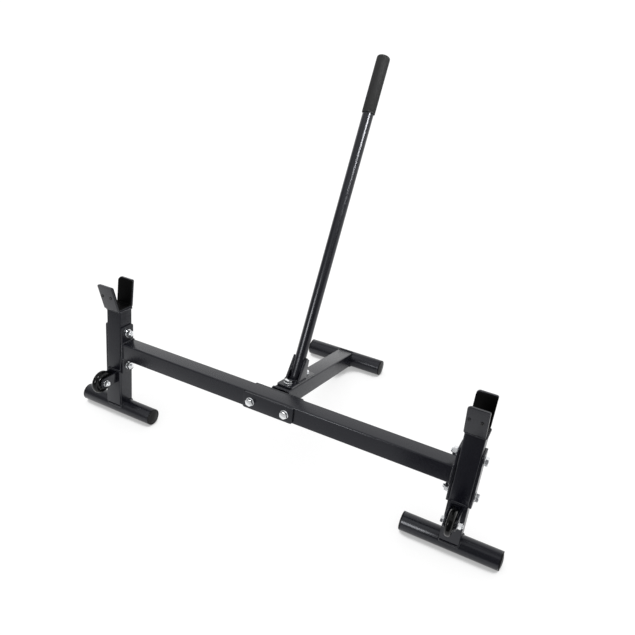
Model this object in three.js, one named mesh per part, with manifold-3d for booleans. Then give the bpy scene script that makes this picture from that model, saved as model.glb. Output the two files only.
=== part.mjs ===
// Deadlift jack: a crossbeam between two uprights that carry padded bar cradles, tipped by a long lever.
// Units are millimetres and +Z is up. It stands as in use: on both foot tubes and on the rear bar.
import * as THREE from 'three';
import { mergeVertices } from 'three/addons/utils/BufferGeometryUtils.js';
import Module from 'manifold-3d';

const wasm = await Module();
wasm.setup();

// Clearances shared by the whole part
const seatGap = 0.3;
const runningGap = 0.3;
const cutOverrun = 10;

// Square and round tube stock
const tubeSide = 43;
const tubeWall = 2.5;
const tubeCornerRadius = 3.5;
const boreCornerShare = 0.375;
const roundTubeDiameter = 42.4;
const roundTubeWall = 2.5;
const saddleLipHeight = 6;

// Main frame, seen along the uprights, with its origin on the axis of the foot tubes
const uprightSpan = 870;
const uprightHeight = 279.5;
const beamHeight = 173;
const footLength = 216;
const legReach = 407.5;
const legSlopeDegrees = 8.03;
const rearBarLength = 216;

// End plugs of the round tubes
const plugRimThickness = 3;
const plugEdgeShare = 0.6;
const plugDomeRise = 2.5;
const plugDomeShare = 0.55;
const plugSpigotLength = 12;
const plugSpigotWall = 2;
const plugFit = 0.3;

// Bolted joint plates, all alike
const plateLength = 130;
const plateWidth = 40;
const plateThickness = 5;
const plateCornerRadius = 5;
const plateHoleInset = 20;

// Fasteners of the joint plates
const boltDiameter = 10;
const boltHoleDiameter = 11;
const hexAcrossFlats = 17;
const headHeight = 6.4;
const nutHeight = 8;
const washerDiameter = 21;
const washerThickness = 2;
const boltTail = 4;
const nutBoreFit = 0.3;

// Fasteners of the wheels' axles, one size smaller
const axleBoltDiameter = 8;
const axleBoltHoleDiameter = 9;
const axleHexAcrossFlats = 13;
const axleHeadHeight = 5.3;
const axleNutHeight = 6.8;
const axleWasherDiameter = 16;
const axleWasherThickness = 1.6;
const axleBoltTail = 3;

// Bar cradles
const cradleSideOverhang = 0.5;
const cradleSideShift = -1.3;
const cradlePlate = 5;
const cradleWingHeight = 72;
const cradleFrontOverhang = 4.5;
const cradleRearOverhang = 3.5;
const frontWingDegrees = 18.5;
const rearWingDegrees = 4.5;
const wingCornerRadiusLeft = 7;
const wingCornerRadiusRight = 3.5;
const bendRadiusShare = 0.9;
const linerThickness = 3;
const linerTopSetback = 2;
const linerScrewDiameter = 4;
const linerScrewHoleDiameter = 4.6;
const linerScrewHeadDiameter = 7;
const linerScrewHeadHeight = 1.2;
const linerScrewSpacing = 26;
const linerScrewHeight = 39.5;
const linerScrewSideShift = -2.6;
const linerScrewBiteShare = 0.5;

// Transport wheels and their brackets
const wheelDiameter = 58;
const tyreWidth = 14.5;
const tyreEdgeShare = 0.42;
const tyreBoreShare = 0.655;
const hubProud = 1.5;
const hubBossWall = 5.7;
const hubRimShare = 0.45;
const hubWebShare = 0.45;
const axleSleeveDiameter = 12;
const axleHeight = 98;
const wheelBackGap = 11.2;
const forkSideGap = 1;
const forkEarThickness = 4;
const forkEarTipRadius = 14;
const forkWebThickness = 4;
const forkWebTopMargin = 3.3;
const forkWebFootShare = 0.73;

// Lever handle
const handleDiameter = 26.9;
const handleWall = 2.5;
const handleLength = 796.5;
const handleTiltDegrees = 13.5;
const handlePlateSetback = 16.5;
const handleFootAhead = 11;
const gussetThickness = 5;
const gussetHeight = 57;
const gussetBaseAhead = 15;
const gussetBaseBehind = 25;
const gussetTopBehind = 12;
const gussetTopDrop = 8;
const gripWall = 2.2;
const gripFit = 0.3;
const gripLength = 138;
const gripEndShare = 0.4;

// Numbers of flat sides that stand for round ones
const roundTubeSides = 36;
const handleSides = 24;
const plugSides = 20;
const boltSides = 16;
const tyreSides = 28;
const hubSides = 20;
const screwSides = 12;
const hexSides = 6;
const cornerSteps = 2;
const tipSteps = 10;
const fullTurn = 2 * Math.PI;
const halfTurn = Math.PI;
const quarterTurn = Math.PI / 2;

// Values worked out from the sizes above
const halfTube = tubeSide / 2;
const footRadius = roundTubeDiameter / 2;
const plateHoleOffset = plateLength / 2 - plateHoleInset;
const plateStack = seatGap + plateThickness;
const clampGrip = tubeSide + 2 * plateStack;
const uprightCentre = uprightSpan / 2 + halfTube;
const beamLength = uprightSpan - 2 * (plateStack + seatGap);
const legStart = halfTube + plateStack + seatGap;
const legSlope = THREE.MathUtils.degToRad(legSlopeDegrees);
const frontWingSlope = THREE.MathUtils.degToRad(frontWingDegrees);
const rearWingSlope = THREE.MathUtils.degToRad(rearWingDegrees);
const handleTilt = THREE.MathUtils.degToRad(handleTiltDegrees);
const rearBarY = legStart + legReach * Math.cos(legSlope);
const rearBarZ = beamHeight - legReach * Math.sin(legSlope);
const lean = Math.atan2(rearBarZ, rearBarY);
const cradleWidth = tubeSide + 2 * cradleSideOverhang;
const linerInset = cradlePlate + seatGap;
const linerTop = cradleWingHeight - linerTopSetback;
const linerScrewDepth = linerInset + linerThickness * linerScrewBiteShare;
const hubWidth = tyreWidth + 2 * hubProud;
const forkInnerWidth = hubWidth + 2 * forkSideGap;
const forkGrip = forkInnerWidth + 2 * forkEarThickness;
const forkWebFront = halfTube + seatGap + forkWebThickness;
const axleForward = forkWebFront + wheelBackGap + wheelDiameter / 2;
const gripRadius = handleDiameter / 2 + gripFit + gripWall;
const gripEndRadius = gripRadius * gripEndShare;
const gripCapInside = handleLength - gripEndRadius;
const jointFastener = {
  diameter: boltDiameter,
  flats: hexAcrossFlats,
  head: headHeight,
  nut: nutHeight,
  washer: washerDiameter,
  washerThickness,
  tail: boltTail,
};
const axleFastener = {
  diameter: axleBoltDiameter,
  flats: axleHexAcrossFlats,
  head: axleHeadHeight,
  nut: axleNutHeight,
  washer: axleWasherDiameter,
  washerThickness: axleWasherThickness,
  tail: axleBoltTail,
};

// Finishes
const powderCoat = new THREE.MeshStandardMaterial({ color: 0x2b2a2e, roughness: 0.5, metalness: 0.2 });
const zinc = new THREE.MeshStandardMaterial({ color: 0xc9ccd0, roughness: 0.3, metalness: 0.9 });
const plugPlastic = new THREE.MeshStandardMaterial({ color: 0x1a1a1b, roughness: 0.55, metalness: 0 });
const linerPlastic = new THREE.MeshStandardMaterial({ color: 0x0b0b0c, roughness: 0.7, metalness: 0 });
const wheelRubber = new THREE.MeshStandardMaterial({ color: 0x0f0f10, roughness: 0.25, metalness: 0 });
const hubPlastic = new THREE.MeshStandardMaterial({ color: 0x202022, roughness: 0.45, metalness: 0 });
const gripRubber = new THREE.MeshStandardMaterial({ color: 0x1d1d20, roughness: 0.85, metalness: 0 });
const blackScrew = new THREE.MeshStandardMaterial({ color: 0x101011, roughness: 0.4, metalness: 0.6 });

// A closed geometry as a solid that can be cut and joined
function solidOf(geometry) {
  const bare = geometry.clone();
  bare.deleteAttribute('normal');
  bare.deleteAttribute('uv');
  const merged = mergeVertices(bare);
  return new wasm.Manifold(new wasm.Mesh({
    numProp: 3,
    vertProperties: new Float32Array(merged.attributes.position.array),
    triVerts: new Uint32Array(merged.index.array),
  }));
}

// A solid as a geometry that a mesh can carry
function geometryOf(solid) {
  const mesh = solid.getMesh();
  const geometry = new THREE.BufferGeometry();
  geometry.setAttribute('position', new THREE.BufferAttribute(mesh.vertProperties, 3));
  geometry.setIndex(new THREE.BufferAttribute(mesh.triVerts, 1));
  return geometry;
}

// A named sub-part in its parent group
function place(parent, name, solid, material) {
  const mesh = new THREE.Mesh(geometryOf(solid), material);
  mesh.name = name;
  parent.add(mesh);
  return mesh;
}

// A child group at a place in its parent
function groupAt(parent, x, y, z) {
  const group = new THREE.Group();
  group.position.set(x, y, z);
  parent.add(group);
  return group;
}

// The points of an arc, both ends included
function arcPoints(x, y, radius, from, sweep, steps) {
  const points = [];
  for (let i = 0; i <= steps; i += 1) {
    const angle = from + (sweep * i) / steps;
    points.push(new THREE.Vector2(x + radius * Math.cos(angle), y + radius * Math.sin(angle)));
  }
  return points;
}

// The same points as pairs of radius and height, for a turned profile
function arcPairs(...arc) {
  return arcPoints(...arc).map((point) => point.toArray());
}

// The points of a full circle
function circlePoints(x, y, radius, sides) {
  return arcPoints(x, y, radius, 0, fullTurn, sides).slice(0, sides);
}

// The points of a rectangle with round corners, centred on the origin
function roundedRectangle(width, height, radius) {
  const x = width / 2 - radius;
  const y = height / 2 - radius;
  return [
    ...arcPoints(x, y, radius, 0, quarterTurn, cornerSteps),
    ...arcPoints(-x, y, radius, quarterTurn, quarterTurn, cornerSteps),
    ...arcPoints(-x, -y, radius, halfTurn, quarterTurn, cornerSteps),
    ...arcPoints(x, -y, radius, -quarterTurn, quarterTurn, cornerSteps),
  ];
}

// An outline with holes, given a thickness from zero up along Z
function extruded(outline, holes, depth) {
  const shape = new THREE.Shape(outline);
  for (const hole of holes) {
    shape.holes.push(new THREE.Path(hole));
  }
  return new THREE.ExtrudeGeometry(shape, { depth, bevelEnabled: false });
}

// A side outline of Y and Z with holes, given a width along X about the origin
function extrudedAlongX(outline, holes, width) {
  return extruded(outline, holes, width)
    .translate(0, 0, -width / 2)
    .rotateX(quarterTurn)
    .rotateZ(quarterTurn);
}

// A profile of radius and height, listed upwards along its outside, turned about the Z axis
function turned(profile, sides) {
  const points = profile.map(([radius, height]) => new THREE.Vector2(radius, height));
  return new THREE.LatheGeometry(points, sides).rotateX(quarterTurn);
}

// A plain round bar along Z, centred on the origin
function roundBar(diameter, length, sides) {
  return new THREE.CylinderGeometry(diameter / 2, diameter / 2, length, sides).rotateX(quarterTurn);
}

// A hexagonal bar along Z from zero upwards
function hexBar(flats, height) {
  const cornerRadius = flats / 2 / Math.cos(halfTurn / hexSides);
  return extruded(circlePoints(0, 0, cornerRadius, hexSides), [], height);
}

// A square tube along Z from zero upwards, open at both ends
function squareTube(length) {
  const bore = tubeSide - 2 * tubeWall;
  const outside = roundedRectangle(tubeSide, tubeSide, tubeCornerRadius);
  const inside = roundedRectangle(bore, bore, tubeCornerRadius * boreCornerShare);
  return extruded(outside, [inside], length);
}

// A round tube along Z from zero upwards, open at both ends
function roundTube(diameter, wall, length, sides) {
  const outside = circlePoints(0, 0, diameter / 2, sides);
  const inside = circlePoints(0, 0, diameter / 2 - wall, sides);
  return extruded(outside, [inside], length);
}

// A tube along Z with bolt holes across it, through both walls
function drilledTube(tube, heights, alongX) {
  let drilled = solidOf(tube);
  for (const height of heights) {
    const drill = roundBar(boltHoleDiameter, tubeSide + 2 * cutOverrun, boltSides)
      .rotateX(quarterTurn)
      .rotateZ(alongX ? quarterTurn : 0)
      .translate(0, 0, height);
    drilled = drilled.subtract(solidOf(drill));
  }
  return drilled;
}

// What a round tube along X takes away from a piece that is welded onto it
function saddleCutter(width) {
  return roundBar(roundTubeDiameter + 2 * seatGap, width + 2 * cutOverrun, roundTubeSides).rotateY(quarterTurn);
}

// A joint plate with two bolt holes, its long side along X and its thickness from zero up along Z
function boltPlate() {
  const holes = [-plateHoleOffset, plateHoleOffset]
    .map((x) => circlePoints(x, 0, boltHoleDiameter / 2, boltSides));
  return extruded(roundedRectangle(plateLength, plateWidth, plateCornerRadius), holes, plateThickness);
}

// A bolt and nut, each with its washer: the head bears on the origin plane, the nut one grip below it
function boltSet(holder, name, grip, size = jointFastener) {
  const stack = seatGap + size.washerThickness;
  const shankEnd = -(grip + stack + size.nut + size.tail);
  const shank = turned([
    [0, shankEnd],
    [size.diameter / 2, shankEnd],
    [size.diameter / 2, seatGap],
    [size.washer / 2, seatGap],
    [size.washer / 2, stack],
    [0, stack],
  ], boltSides);
  const head = hexBar(size.flats, size.washerThickness + size.head).translate(0, 0, seatGap);
  place(holder, `${name}_bolt`, solidOf(shank).add(solidOf(head)), zinc);

  const washer = roundBar(size.washer, size.washerThickness, boltSides)
    .translate(0, 0, seatGap + size.washerThickness / 2);
  const body = hexBar(size.flats, size.washerThickness + size.nut).translate(0, 0, seatGap);
  const thread = roundBar(size.diameter + 2 * nutBoreFit, 2 * (stack + size.nut + cutOverrun), boltSides);
  const nut = place(holder, `${name}_nut`, solidOf(washer).add(solidOf(body)).subtract(solidOf(thread)), zinc);
  nut.rotation.x = halfTurn;
  nut.position.z = -grip;
}

// An end plug for a round tube whose end is the origin plane: a domed cap above a hollow spigot
function endPlug() {
  const spigot = footRadius - roundTubeWall - plugFit;
  const bore = spigot - plugSpigotWall;
  const edge = plugRimThickness * plugEdgeShare;
  const top = seatGap + plugRimThickness;
  return solidOf(turned([
    [0, seatGap],
    [bore, seatGap],
    [bore, -plugSpigotLength],
    [spigot, -plugSpigotLength],
    [spigot, seatGap],
    [footRadius, seatGap],
    ...arcPairs(footRadius - edge, top - edge, edge, 0, quarterTurn, cornerSteps),
    [footRadius * plugDomeShare, top + plugDomeRise * (1 - plugDomeShare ** 2)],
    [0, top + plugDomeRise],
  ], plugSides));
}

// A round tube along X that lies on the floor, with a plug in each end
function addFloorTube(parent, name, length) {
  const tube = roundTube(roundTubeDiameter, roundTubeWall, length, roundTubeSides)
    .translate(0, 0, -length / 2)
    .rotateY(quarterTurn);
  place(parent, `${name}_tube`, solidOf(tube), powderCoat);
  for (const [side, word] of [[-1, 'left'], [1, 'right']]) {
    const plug = place(parent, `${name}_plug_${word}`, endPlug(), plugPlastic);
    plug.position.x = (side * length) / 2;
    plug.rotation.y = side * quarterTurn;
  }
}

// The crossbeam along X, drilled from front to rear for the bolts at its middle
function addCrossbeam(frame) {
  const group = groupAt(frame, 0, 0, beamHeight);
  group.rotation.y = quarterTurn;
  const tube = squareTube(beamLength).translate(0, 0, -beamLength / 2);
  place(group, 'crossbeam', drilledTube(tube, [-plateHoleOffset, plateHoleOffset], false), powderCoat);
}

// The clamp at the crossbeam's middle: a plate in front, the leg's end plate behind and two bolts
function addCentreClamp(frame) {
  const front = groupAt(frame, 0, -(halfTube + seatGap), beamHeight);
  front.rotation.x = quarterTurn;
  place(front, 'centre_front_plate', solidOf(boltPlate()), powderCoat);
  const rear = groupAt(frame, 0, halfTube + seatGap, beamHeight);
  rear.rotation.x = -quarterTurn;
  place(rear, 'leg_end_plate', solidOf(boltPlate()), powderCoat);
  for (const [side, word] of [[-1, 'left'], [1, 'right']]) {
    boltSet(groupAt(front, side * plateHoleOffset, 0, plateThickness), `centre_${word}`, clampGrip);
  }
}

// One upright with its joint plates, and the bolts that hold the crossbeam's end plate
function addUpright(frame, side, word) {
  const post = groupAt(frame, side * uprightCentre, 0, 0);
  const boltHeights = { lower: beamHeight - plateHoleOffset, upper: beamHeight + plateHoleOffset };
  const stock = squareTube(uprightHeight - saddleLipHeight).translate(0, 0, saddleLipHeight);
  const tube = drilledTube(stock, Object.values(boltHeights), true);
  place(post, `upright_${word}`, tube.subtract(solidOf(saddleCutter(tubeSide))), powderCoat);

  for (const [name, facing] of [['crossbeam_end_plate', -side], ['backing_plate', side]]) {
    const holder = groupAt(post, facing * (halfTube + seatGap), 0, beamHeight);
    holder.rotation.y = facing * quarterTurn;
    place(holder, `${name}_${word}`, solidOf(boltPlate()), powderCoat);
  }
  for (const [level, height] of Object.entries(boltHeights)) {
    const holder = groupAt(post, side * (halfTube + plateStack), 0, height);
    holder.rotation.y = side * quarterTurn;
    boltSet(holder, `upright_${level}_${word}`, clampGrip);
  }
  return post;
}

// The side outline of a cradle or of its liner: a floor and two leaning wings, one thickness throughout
function cradleOutline(inset, thickness, top) {
  const frontAt = (depth, z) => depth / Math.cos(frontWingSlope)
    - halfTube - cradleFrontOverhang - z * Math.tan(frontWingSlope);
  const rearAt = (depth, z) => halfTube + cradleRearOverhang + z * Math.tan(rearWingSlope)
    - depth / Math.cos(rearWingSlope);
  const bend = thickness * bendRadiusShare;
  const inner = inset + thickness;
  return [
    new THREE.Vector2(frontAt(inset, inset) + bend, inset),
    new THREE.Vector2(rearAt(inset, inset) - bend, inset),
    new THREE.Vector2(rearAt(inset, inset + bend), inset + bend),
    new THREE.Vector2(rearAt(inset, top), top),
    new THREE.Vector2(rearAt(inner, top), top),
    new THREE.Vector2(rearAt(inner, inner), inner),
    new THREE.Vector2(frontAt(inner, inner), inner),
    new THREE.Vector2(frontAt(inner, top), top),
    new THREE.Vector2(frontAt(inset, top), top),
    new THREE.Vector2(frontAt(inset, inset + bend), inset + bend),
  ];
}

// What rounds off the top corners of both wings on one side, from front to rear
function wingCornerCutter(side, radius, top) {
  const reach = tubeSide + cradleFrontOverhang + cradleRearOverhang + 2 * cradleWingHeight;
  const x = cradleWidth / 2 - radius;
  const z = top - radius;
  const beyond = cradleWidth / 2 + cutOverrun;
  const outline = [
    ...arcPoints(x, z, radius, 0, quarterTurn, cornerSteps),
    new THREE.Vector2(x, top + cutOverrun),
    new THREE.Vector2(beyond, top + cutOverrun),
    new THREE.Vector2(beyond, z),
  ];
  const cutter = extruded(outline, [], reach)
    .translate(0, 0, -reach / 2)
    .rotateX(quarterTurn)
    .rotateZ(side > 0 ? 0 : halfTurn);
  return solidOf(cutter);
}

// A cradle plate or liner with the corners of its wings rounded
function cradleShell(inset, thickness, top) {
  return solidOf(extrudedAlongX(cradleOutline(inset, thickness, top), [], cradleWidth))
    .subtract(wingCornerCutter(-1, wingCornerRadiusLeft, top))
    .subtract(wingCornerCutter(1, wingCornerRadiusRight, top));
}

// A turned shape moved onto the front wing's outer face, with its +Z square to that face and outwards
function ontoFrontWing(geometry, x) {
  const y = -(halfTube + cradleFrontOverhang + linerScrewHeight * Math.tan(frontWingSlope));
  return solidOf(geometry.rotateX(quarterTurn + frontWingSlope).translate(x, y, linerScrewHeight));
}

// The bar cradle on an upright: a bent steel plate, its one-piece liner and the liner's screws
function addCradle(post, word) {
  const cradle = groupAt(post, cradleSideShift, 0, uprightHeight + seatGap);
  const headTop = seatGap + linerScrewHeadHeight;
  let plate = cradleShell(0, cradlePlate, cradleWingHeight);
  let liner = cradleShell(linerInset, linerThickness, linerTop);
  for (const [side, sideWord] of [[-1, 'left'], [1, 'right']]) {
    const x = linerScrewSideShift + (side * linerScrewSpacing) / 2;
    const hole = turned([
      [0, -linerScrewDepth - seatGap],
      [linerScrewHoleDiameter / 2, -linerScrewDepth - seatGap],
      [linerScrewHoleDiameter / 2, cutOverrun],
      [0, cutOverrun],
    ], screwSides);
    const drill = ontoFrontWing(hole, x);
    plate = plate.subtract(drill);
    liner = liner.subtract(drill);
    const screw = turned([
      [0, -linerScrewDepth],
      [linerScrewDiameter / 2, -linerScrewDepth],
      [linerScrewDiameter / 2, seatGap],
      [linerScrewHeadDiameter / 2, seatGap],
      [linerScrewHeadDiameter / 2, headTop],
      [0, headTop],
    ], screwSides);
    place(cradle, `liner_screw_${word}_${sideWord}`, ontoFrontWing(screw, x), blackScrew);
  }
  place(cradle, `cradle_${word}`, plate, powderCoat);
  place(cradle, `cradle_liner_${word}`, liner, linerPlastic);
}

// The wheel bracket on the front of an upright: a web plate with two forward ears
function wheelFork() {
  const webTop = axleHeight + forkEarTipRadius + forkWebTopMargin;
  const webBottom = footRadius * forkWebFootShare;
  const webMiddle = -(forkWebFront - forkWebThickness / 2);
  const web = new THREE.BoxGeometry(tubeSide, forkWebThickness, webTop - webBottom)
    .translate(0, webMiddle, (webTop + webBottom) / 2);
  let fork = solidOf(web);
  const outline = [
    ...arcPoints(-axleForward, axleHeight, forkEarTipRadius, quarterTurn, halfTurn, tipSteps),
    new THREE.Vector2(webMiddle, axleHeight - forkEarTipRadius),
    new THREE.Vector2(webMiddle, axleHeight + forkEarTipRadius),
  ];
  const hole = circlePoints(-axleForward, axleHeight, axleBoltHoleDiameter / 2, boltSides);
  for (const side of [-1, 1]) {
    const ear = extrudedAlongX(outline, [hole], forkEarThickness)
      .translate((side * (forkInnerWidth + forkEarThickness)) / 2, 0, 0);
    fork = fork.add(solidOf(ear));
  }
  return fork;
}

// The tyre: a ring with a rounded tread, turned about Z and centred on the origin
function tyre() {
  const half = tyreWidth / 2;
  const bore = (wheelDiameter * tyreBoreShare) / 2;
  const round = tyreWidth * tyreEdgeShare;
  const centre = wheelDiameter / 2 - round;
  return solidOf(turned([
    [bore, -half],
    ...arcPairs(centre, round - half, round, -quarterTurn, quarterTurn, cornerSteps),
    ...arcPairs(centre, half - round, round, 0, quarterTurn, cornerSteps),
    [bore, half],
    [bore, -half],
  ], tyreSides));
}

// The hub: a boss on the axle sleeve, a thin web and a rim that fills the tyre's bore
function hub() {
  const bore = axleSleeveDiameter / 2 + runningGap;
  const boss = bore + hubBossWall;
  const rim = (wheelDiameter * tyreBoreShare) / 2 - seatGap;
  const rimInner = rim - (rim - boss) * hubRimShare;
  const rimHalf = tyreWidth / 2;
  const bossHalf = hubWidth / 2;
  const webHalf = rimHalf * hubWebShare;
  return solidOf(turned([
    [bore, -bossHalf],
    [boss, -bossHalf],
    [boss, -webHalf],
    [rimInner, -webHalf],
    [rimInner, -rimHalf],
    [rim, -rimHalf],
    [rim, rimHalf],
    [rimInner, rimHalf],
    [rimInner, webHalf],
    [boss, webHalf],
    [boss, bossHalf],
    [bore, bossHalf],
    [bore, -bossHalf],
  ], hubSides));
}

// The plain sleeve that the hub turns on, between the bracket's ears
function axleSleeve() {
  const outside = axleSleeveDiameter / 2;
  const bore = axleBoltDiameter / 2 + seatGap;
  const end = forkInnerWidth / 2 - seatGap;
  return solidOf(turned([[bore, -end], [outside, -end], [outside, end], [bore, end], [bore, -end]], boltSides));
}

// The transport wheel in front of an upright, with its bracket, axle sleeve, bolt and nut
function addWheel(post, word) {
  place(post, `wheel_bracket_${word}`, wheelFork(), powderCoat);
  const axle = groupAt(post, 0, -axleForward, axleHeight);
  axle.rotation.y = -quarterTurn;
  place(axle, `wheel_tyre_${word}`, tyre(), wheelRubber);
  place(axle, `wheel_hub_${word}`, hub(), hubPlastic);
  place(axle, `axle_sleeve_${word}`, axleSleeve(), zinc);
  boltSet(groupAt(axle, 0, 0, forkGrip / 2), `axle_${word}`, forkGrip, axleFastener);
}

// The rear leg in its own frame: along +Y from the end plate to the rear bar
function rearLeg(boltPlaces) {
  const overrun = tubeSide * Math.tan(legSlope) + cutOverrun;
  const tube = squareTube(legReach - saddleLipHeight + overrun).translate(0, 0, -overrun);
  const leg = geometryOf(drilledTube(tube, boltPlaces, false)).rotateX(-quarterTurn);
  const blockSide = 2 * (tubeSide + overrun);
  const platePlane = new THREE.BoxGeometry(blockSide, blockSide, blockSide)
    .translate(0, -blockSide / 2, 0)
    .rotateX(legSlope);
  const barCut = saddleCutter(tubeSide).translate(0, legReach, 0);
  return solidOf(leg).subtract(solidOf(platePlane)).subtract(solidOf(barCut));
}

// The lever's tube, whose foot is cut flat just above the origin plane
function leverTube() {
  const overrun = handleDiameter + cutOverrun;
  const tube = roundTube(handleDiameter, handleWall, gripCapInside - seatGap + overrun, handleSides)
    .translate(0, 0, -overrun)
    .rotateX(-handleTilt);
  const blockSide = 2 * (handleDiameter + overrun);
  const platePlane = new THREE.BoxGeometry(blockSide, blockSide, blockSide)
    .translate(0, 0, seatGap - blockSide / 2);
  return solidOf(tube).subtract(solidOf(platePlane));
}

// The grip over the lever's top end, closed by a rounded cap, turned about the lever's own axis
function leverGrip() {
  const bore = handleDiameter / 2 + gripFit;
  const start = handleLength - gripLength;
  return solidOf(turned([
    [0, gripCapInside],
    [bore, gripCapInside],
    [bore, start],
    [gripRadius, start],
    ...arcPairs(gripRadius - gripEndRadius, gripCapInside, gripEndRadius, 0, quarterTurn, 2 * cornerSteps),
    [0, handleLength],
  ], handleSides));
}

// A gusset plate beside the lever's foot, standing on the base plate
function leverGusset(side) {
  const outline = [
    new THREE.Vector2(-gussetBaseAhead, seatGap),
    new THREE.Vector2(gussetBaseBehind, seatGap),
    new THREE.Vector2(gussetBaseBehind, gussetHeight - gussetTopDrop),
    new THREE.Vector2(gussetTopBehind, gussetHeight),
  ];
  const x = side * (handleDiameter / 2 + seatGap + gussetThickness / 2);
  return solidOf(extrudedAlongX(outline, [], gussetThickness).translate(x, 0, 0));
}

// The rear leg with the bar welded to its end, and the lever bolted on top of it
function addLegAndLever(frame) {
  const leg = groupAt(frame, 0, legStart, beamHeight);
  leg.rotation.x = -legSlope;
  const plateCentre = handlePlateSetback + plateLength / 2;
  const boltPlaces = [plateCentre - plateHoleOffset, plateCentre + plateHoleOffset];
  place(leg, 'rear_leg', rearLeg(boltPlaces), powderCoat);
  addFloorTube(groupAt(leg, 0, legReach, 0), 'rear_bar', rearBarLength);

  const base = groupAt(leg, 0, plateCentre, halfTube + seatGap);
  place(base, 'lever_base_plate', solidOf(boltPlate().rotateZ(quarterTurn)), powderCoat);
  for (const [side, word] of [[-1, 'front'], [1, 'rear']]) {
    boltSet(groupAt(base, 0, side * plateHoleOffset, plateThickness), `lever_${word}`, plateStack + tubeSide);
  }
  const lever = groupAt(base, 0, -handleFootAhead, plateThickness);
  place(lever, 'lever_gusset_left', leverGusset(-1), powderCoat);
  place(lever, 'lever_gusset_right', leverGusset(1), powderCoat);
  place(lever, 'lever_tube', leverTube(), powderCoat);
  const grip = place(lever, 'lever_grip', leverGrip(), gripRubber);
  grip.rotation.x = -handleTilt;
}

// The whole jack, leaning back until both foot tubes and the rear bar touch the floor
const frame = new THREE.Group();
frame.rotation.x = -lean;
addCrossbeam(frame);
addCentreClamp(frame);
addLegAndLever(frame);
for (const [side, word] of [[-1, 'left'], [1, 'right']]) {
  const post = addUpright(frame, side, word);
  addFloorTube(post, `foot_${word}`, footLength);
  addCradle(post, word);
  addWheel(post, word);
}

// The origin lies on the floor, under the middle of the jack's box
const jack = new THREE.Group();
jack.add(frame);
jack.updateMatrixWorld(true);
const extent = new THREE.Box3().setFromObject(jack, true);
const middle = extent.getCenter(new THREE.Vector3());
frame.position.set(-middle.x, -middle.y, -extent.min.z);

export default jack;
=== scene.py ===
"""The looks of the deadlift jack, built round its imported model. Lengths are in metres."""
import math
from types import SimpleNamespace
import bmesh
import bpy
from mathutils import Matrix, Vector, noise


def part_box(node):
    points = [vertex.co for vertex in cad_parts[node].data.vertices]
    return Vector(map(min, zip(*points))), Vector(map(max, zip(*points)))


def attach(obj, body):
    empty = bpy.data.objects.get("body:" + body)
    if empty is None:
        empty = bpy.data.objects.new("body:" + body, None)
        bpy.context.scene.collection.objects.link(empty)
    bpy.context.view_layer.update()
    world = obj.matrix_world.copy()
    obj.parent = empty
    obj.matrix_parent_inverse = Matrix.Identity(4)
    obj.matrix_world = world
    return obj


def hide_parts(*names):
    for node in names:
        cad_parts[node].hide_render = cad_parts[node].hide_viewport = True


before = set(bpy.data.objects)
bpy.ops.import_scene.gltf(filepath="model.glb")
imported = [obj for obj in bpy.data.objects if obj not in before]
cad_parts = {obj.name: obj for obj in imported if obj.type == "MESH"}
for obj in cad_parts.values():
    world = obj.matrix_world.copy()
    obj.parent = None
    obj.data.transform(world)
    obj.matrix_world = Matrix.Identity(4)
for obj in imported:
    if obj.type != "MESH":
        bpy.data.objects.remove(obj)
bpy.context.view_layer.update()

MM = 0.001
QUARTER = math.pi / 2
FULL = 2 * math.pi

# Clearances and edges
SEAT_GAP = 0.3 * MM
CUT_EDGE = 0.6 * MM
CAST_EDGE = 0.4 * MM

# Tube stock
TUBE_SIDE = 43 * MM
TUBE_WALL = 2.5 * MM
TUBE_CORNER = 3.5 * MM
ROUND_TUBE_DIAMETER = 42.3 * MM
ROUND_TUBE_WALL = 2.5 * MM
SADDLE_LIP = 6 * MM
SADDLE_WELD_RISE = 2 * MM

# Main frame, seen along the uprights, with its origin on the axis of the foot tubes
UPRIGHT_SPAN = 870 * MM
UPRIGHT_HEIGHT = 279.5 * MM
BEAM_HEIGHT = 173 * MM
FOOT_LENGTH = 216 * MM
LEG_REACH = 407.5 * MM
LEG_SLOPE = math.radians(8.03)
REAR_BAR_LENGTH = 216 * MM

# End plugs
PLUG_RIM = 3 * MM
PLUG_EDGE = 1.8 * MM
PLUG_DOME = 2.5 * MM
PLUG_GROOVE = 0.35 * MM
PLUG_GROOVE_INSET = 2.2 * PLUG_EDGE
PLUG_EDGE_STEPS = 6
PLUG_DOME_STEPS = 8

# Joint plates
PLATE_LENGTH = 130 * MM
PLATE_WIDTH = 40 * MM
PLATE_THICKNESS = 5 * MM
PLATE_CORNER = 5 * MM
PLATE_HOLE_INSET = 20 * MM

# Fasteners: M10 in the joint plates and M8 in the wheels' axles
JOINT_BOLT = SimpleNamespace(
    diameter=10 * MM, pitch=1.5 * MM, thread=0.7 * MM, flats=17 * MM, head=6.4 * MM, nut=8 * MM,
    washer=21 * MM, washer_thickness=2 * MM, tail=4 * MM)
AXLE_BOLT = SimpleNamespace(
    diameter=8 * MM, pitch=1.25 * MM, thread=0.6 * MM, flats=13 * MM, head=5.3 * MM, nut=6.8 * MM,
    washer=16 * MM, washer_thickness=1.6 * MM, tail=3 * MM)
HEX_CHAMFER_SHARE = 0.93
HEX_CHAMFER_SLOPE = 0.55
THREAD_CREST = (0.4, 0.6)

# Turns of the bolts' heads in degrees, so that they don't all stand alike
CENTRE_TWIST = 11
CENTRE_TWIST_STEP = 26
UPRIGHT_TWIST = 17
UPRIGHT_TWIST_PER_METRE = 400
LEVER_TWIST = 13
AXLE_TWIST = 9

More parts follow.
